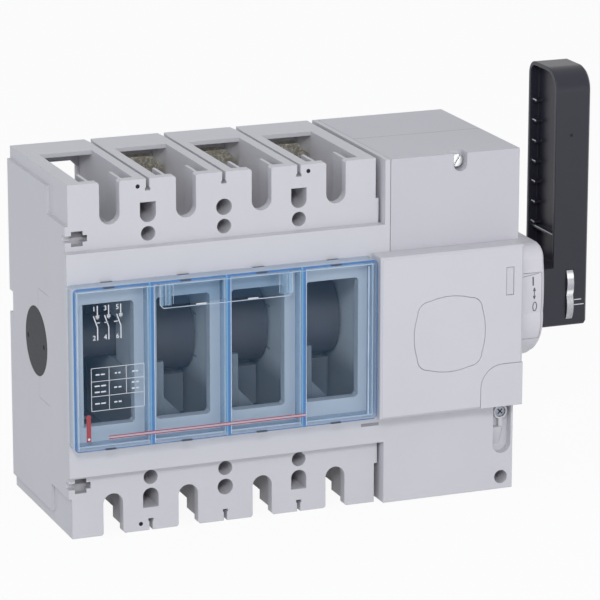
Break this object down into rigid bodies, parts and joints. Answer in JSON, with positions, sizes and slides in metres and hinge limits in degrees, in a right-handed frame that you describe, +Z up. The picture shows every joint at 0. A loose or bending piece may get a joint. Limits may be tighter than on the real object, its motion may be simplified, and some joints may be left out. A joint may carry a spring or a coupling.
{
  "type": "switch disconnector",
  "caption": "Side-operated switch disconnector: grey moulded case, clear blue window cover over the contacts, mechanism box with a side lever handle and padlock tab.",
  "frame": {"origin": "centre of the four fixing holes on the flat rear mounting plane", "axes": "+X right towards the handle, +Y back into the mounting panel, +Z up"},
  "size_m": [0.328, 0.1214, 0.2304],
  "materials": {
    "case_grey": "fine matte grey moulding",
    "front_grey": "smooth matte grey",
    "clear_blue": "clear pale blue, glossy",
    "cap_black": "matte black",
    "handle_charcoal": "matte charcoal",
    "label_grey": "satin printed film",
    "rotor_dark": "matte dark grey",
    "bright_steel": "zinc plated",
    "tinned_copper": "tin plated, satin",
    "contact_copper": "silvered copper",
    "chute_grey": "dull grey"
  },
  "bodies": {
    "case": {"base_housing": "case_grey", "pole_cover": "case_grey", "mechanism_housing": "case_grey", "auxiliary_cover": "case_grey", "mechanism_base": "case_grey", "front_plate": "front_grey", "plate_pad": "front_grey", "corner_cap": "front_grey", "indicator_lens": "front_grey", "hub_boss": "front_grey", "window_cover": "clear_blue", "side_cap": "cap_black", "hub_label": "label_grey", "mechanism_frame": "bright_steel", "snap_spring": "bright_steel", "case_screws": "bright_steel", "cover_screw": "bright_steel", "fixing_screw": "bright_steel", "upper_terminal_1": "tinned_copper", "lower_terminal_1": "tinned_copper", "arc_chute_1": "chute_grey", "upper_terminal_2": "tinned_copper", "lower_terminal_2": "tinned_copper", "arc_chute_2": "chute_grey", "upper_terminal_3": "tinned_copper", "lower_terminal_3": "tinned_copper", "arc_chute_3": "chute_grey"},
    "rotor": {"contact_rotor": "rotor_dark", "moving_contact_1": "contact_copper", "moving_contact_2": "contact_copper", "moving_contact_3": "contact_copper", "rotor_jaw": "rotor_dark"},
    "handle": {"handle_lever": "handle_charcoal", "handle_shaft": "bright_steel", "drive_jaw": "rotor_dark"},
    "tab": {"padlock_tab": "bright_steel"}
  },
  "joints": [
    {"name": "handle_turn", "type": "hinge", "parent": "case", "child": "handle", "pos_m": [0.2, -0.0486, -0.0007], "axis": [1, 0, 0], "range_deg": [0, 90]},
    {"name": "rotor_turn", "type": "hinge", "parent": "case", "child": "rotor", "pos_m": [0, -0.0486, -0.0007], "axis": [1, 0, 0], "range_deg": [0, 90]},
    {"name": "padlock_slide", "type": "slide", "parent": "handle", "child": "tab", "axis": [0, -1, 0], "range_m": [0, 0.014]}
  ],
  "couplings": [
    {"joint": "rotor_turn", "follows": "handle_turn", "ratio": 1}
  ]
}
